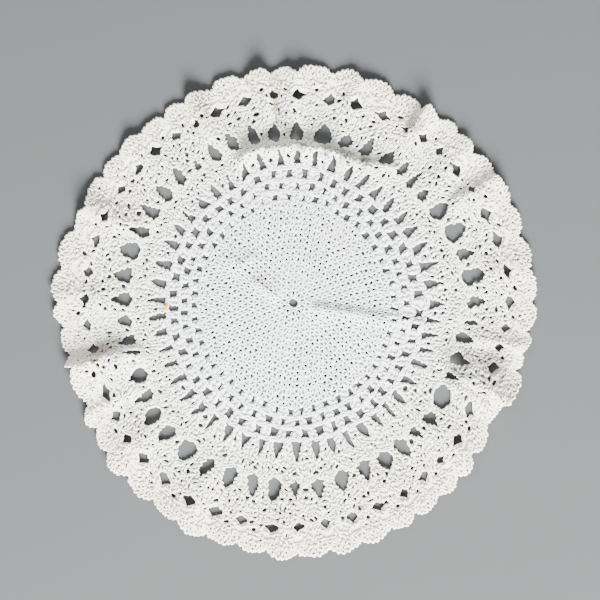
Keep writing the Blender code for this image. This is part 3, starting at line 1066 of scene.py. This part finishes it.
# Painted shade on the folds and creases: the first list darkens them towards grey, and the second
# marks a few valleys, partly the cotton's yellowing and partly painted shade.
FOLD_SHADE_COLUMNS = ("azimuth", "s", "radius", "strength")
FOLD_SHADE_GREY = (0.20, 0.20, 0.17, 1.0)
YELLOWED_AND_SHADED_COTTON = (0.28, 0.27, 0.16, 1.0)
FOLD_SHADE = (
    (99, 97.5, 8.0, 0.55),
    (89, 99.0, 8.5, 0.65),
    (80, 100.5, 9.0, 0.72),
    (73, 101.0, 9.0, 0.72),
    (66, 102.0, 8.0, 0.7),
    (343, 133.5, 13.0, 0.78),
    (337, 112.0, 14.0, 0.6),
    (343, 118.0, 10.0, 0.45),
    (59, 139.0, 9.0, 0.6),
    (153, 143.0, 11.0, 0.4),
    (115, 144.0, 10.0, 0.4),
    (30, 140.0, 10.0, 0.3),
    (222, 127.0, 9.0, 0.25),
    (355.0, 15.0, 3.5, 0.6),
    (355.5, 21.0, 4.0, 0.66),
    (355.5, 28.0, 4.0, 0.66),
    (355.5, 35.0, 4.0, 0.66),
    (356.5, 42.0, 4.0, 0.45),
    (356.5, 49.0, 4.0, 0.4),
    (356.5, 56.0, 4.0, 0.3),
    (147.5, 13.0, 3.5, 0.5),
    (145.5, 19.0, 4.0, 0.55),
    (144.0, 25.0, 4.0, 0.45),
    (143.0, 42.5, 4.5, 0.3),
    (135.5, 41.5, 4.5, 0.35),
    (129.0, 41.0, 4.5, 0.25),
)
YELLOWED_AND_SHADED = (
    (96.4, 118.0, 5.5, 0.7),
    (96.4, 127.0, 6.0, 0.8),
    (96.0, 136.0, 6.0, 0.75),
    (95.6, 145.0, 6.0, 0.65),
    (192.5, 130.0, 10.0, 0.65),
    (198, 120.0, 8.0, 0.4),
)


class Nodes:
    """Adds nodes to a material, each wired to the ones before it."""

    def __init__(self, material):
        material.use_nodes = True
        self.tree = material.node_tree
        self.shader = self.tree.nodes["Principled BSDF"]

    def add(self, kind, inputs=None, **settings):
        made = self.tree.nodes.new(kind)
        for name, value in settings.items():
            setattr(made, name, value)
        for name, value in (inputs or {}).items():
            self.set(made.inputs[name], value)
        return made

    def set(self, socket, value):
        if isinstance(value, bpy.types.NodeSocket):
            self.tree.links.new(value, socket)
        else:
            socket.default_value = value

    def math(self, operation, a, b=0.0):
        return self.add("ShaderNodeMath", {0: a, 1: b}, operation=operation).outputs[0]

    def step(self, value, low, high, to_low=0.0, to_high=1.0):
        """A soft step of a value from one level to another."""
        inputs = {"Value": value, 1: low, 2: high, 3: to_low, 4: to_high}
        return self.add("ShaderNodeMapRange", inputs, interpolation_type="SMOOTHSTEP").outputs[0]

    def mix(self, share, a, b):
        inputs = {"Factor": share, 6: a, 7: b}
        return self.add("ShaderNodeMix", inputs, data_type="RGBA").outputs[2]

    def distance(self, place, point):
        inputs = {0: place, 1: point}
        return self.add("ShaderNodeVectorMath", inputs, operation="DISTANCE").outputs["Value"]


def add_stains_and_shade(nodes, place, colour):
    """Mixes the stains and the painted shade of the folds into a colour, each fading out round its
    middle.
    """
    rows = list(STAINS)
    # The patches of painted shade on the folds and creases, grey and partly yellowed, are mixed in
    # like the stains.
    rows += [(*place_in, FOLD_SHADE_GREY, strength) for *place_in, strength in FOLD_SHADE]
    rows += [(*place_in, YELLOWED_AND_SHADED_COTTON, strength) for *place_in, strength in YELLOWED_AND_SHADED]
    azimuth, s, radius = (np.array([row[i] for row in rows], float) for i in range(3))
    middles = drape(s, np.radians(azimuth)) * MM
    for middle, reach, (*_, stain_and_shade, strength) in zip(middles, radius * MM, rows):
        off = nodes.distance(place, tuple(middle))
        share = nodes.step(off, STAIN_AND_SHADE_CORE * reach, reach, strength, 0.0)
        colour = nodes.mix(share, colour, stain_and_shade)
    return colour


def cotton():
    """White cotton: bluer in the middle, creamier outside, with stains, and with painted shade in
    its crevices and folds.
    """
    material = bpy.data.materials.new("white_cotton")
    nodes = Nodes(material)
    place = nodes.add("ShaderNodeTexCoord").outputs["Object"]
    middle = (CENTRE[0] * MM, CENTRE[1] * MM, 0.0)
    outward = nodes.step(nodes.distance(place, middle), INNER_TO, OUTER_FROM)
    colour = nodes.mix(outward, INNER_COTTON, OUTER_COTTON)
    clouds = nodes.add("ShaderNodeTexNoise", {"Vector": place, **AGED_CLOUDS})
    aged = nodes.step(clouds.outputs[0], AGED_FROM, AGED_TO)
    aged = nodes.math("MULTIPLY", aged, AGED_STRENGTH)
    colour = nodes.mix(nodes.math("MULTIPLY", aged, outward), colour, AGED_COTTON)
    colour = add_stains_and_shade(nodes, place, colour)
    # The tone: random from strand to strand, and lowered on the ground as a slight painted shade.
    tone = nodes.add("ShaderNodeAttribute", attribute_name="tone").outputs["Fac"]
    inputs = {0: colour, "Scale": nodes.step(tone, 0.0, 1.0, *STRAND_SHADES)}
    colour = nodes.add("ShaderNodeVectorMath", inputs, operation="SCALE").outputs[0]
    # Painted shade: the colour darkens in the crevices that the ambient occlusion finds.
    inputs = {"Distance": CREVICE_SHADE_REACH}
    open_sky = nodes.add("ShaderNodeAmbientOcclusion", inputs, samples=CREVICE_SHADE_SAMPLES)
    crevice_shade = nodes.step(open_sky.outputs["AO"], CREVICE_SHADE_FROM, CREVICE_SHADE_TO)
    colour = nodes.mix(crevice_shade, CREVICE_SHADE_COLOUR, colour)
    nodes.set(nodes.shader.inputs["Base Color"], colour)
    nodes.set(nodes.shader.inputs["Roughness"], COTTON_ROUGHNESS)
    nodes.set(nodes.shader.inputs["Specular IOR Level"], COTTON_SPECULAR)
    nodes.set(nodes.shader.inputs["Normal"], yarn_bump(nodes, place))
    return material


def yarn_bump(nodes, place):
    """The plies twisted round the strand, and the fibres on them."""
    strand = nodes.add("ShaderNodeSeparateXYZ", {0: nodes.add("ShaderNodeTexCoord").outputs["UV"]})
    turns = nodes.math("MULTIPLY", strand.outputs[0], 1.0 / PLY_LENGTH)
    turns = nodes.math("ADD", turns, nodes.math("MULTIPLY", strand.outputs[1], PLIES))
    groove = nodes.math("ABSOLUTE", nodes.math("SINE", nodes.math("MULTIPLY", turns, math.pi)))
    fibres = nodes.add("ShaderNodeTexNoise", {"Vector": place, **FIBRES})
    height = nodes.math("ADD", groove, nodes.math("MULTIPLY", fibres.outputs[0], FIBRE_HEIGHT))
    bump = nodes.add("ShaderNodeBump", {"Height": height, **YARN_RELIEF})
    return bump.outputs[0]


def floor_material():
    material = bpy.data.materials.new("pale_floor")
    material.use_nodes = True
    shader = material.node_tree.nodes["Principled BSDF"]
    shader.inputs["Base Color"].default_value = FLOOR_COLOUR
    shader.inputs["Roughness"].default_value = FLOOR_ROUGHNESS
    return material


# -------- studio


FLOOR_SIZE = 6.0
FLOOR_DROP = 0.0002  # the doily rests on the table top at 0, and the floor stays clear of it
LIGHT_COLUMNS = ("name", "place", "size", "power")
LIGHTS = (
    ("key", (0.5, -1.95, 1.35), 1.2, 560.0),
    ("fill", (-1.0, 1.4, 1.9), 2.0, 40.0),
)
SKY_COLOUR = (1.0, 1.0, 1.0, 1.0)
SKY_STRENGTH = 0.75

VIEW_WIDTH = 0.3732  # what the camera sees at the height of the floor
VIEW_MIDDLE = (0.00311, 0.00768)
CAMERA_HEIGHT = 1.3


def look_at(obj, target):
    direction = Vector(target) - obj.location
    obj.rotation_euler = direction.to_track_quat("-Z", "Y").to_euler()


def add_floor():
    bpy.ops.mesh.primitive_plane_add(size=FLOOR_SIZE)
    floor = bpy.context.object
    floor.name = "floor"
    floor.location.z = -FLOOR_DROP
    floor.data.materials.append(floor_material())


def add_lights():
    scene = bpy.context.scene
    for name, place, size, power in LIGHTS:
        light = bpy.data.lights.new(name, "AREA")
        light.size = size
        light.energy = power
        lamp = bpy.data.objects.new(name, light)
        scene.collection.objects.link(lamp)
        lamp.location = place
        look_at(lamp, (0.0, 0.0, 0.0))
    world = bpy.data.worlds.new("studio")
    world.use_nodes = True
    sky = world.node_tree.nodes["Background"]
    sky.inputs["Color"].default_value = SKY_COLOUR
    sky.inputs["Strength"].default_value = SKY_STRENGTH
    scene.world = world


def add_camera():
    data = bpy.data.cameras.new("camera")
    data.lens = data.sensor_width * CAMERA_HEIGHT / VIEW_WIDTH
    camera = bpy.data.objects.new("camera", data)
    bpy.context.scene.collection.objects.link(camera)
    camera.location = (*VIEW_MIDDLE, CAMERA_HEIGHT)
    bpy.context.scene.camera = camera


# -------- the doily

add_camera()
add_floor()
add_lights()
yarn = cotton()
ground, ground_area = make_ground(yarn)
pieces = [
    make_disc(yarn),
    make_mesh_rounds(yarn),
    *(make_posts(name, rounds, yarn) for name, rounds in POST_PIECES),
    make_edging(yarn),
    make_chains(yarn),
]
for piece in (ground, *pieces):
    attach(piece, "root")
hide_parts("doily")
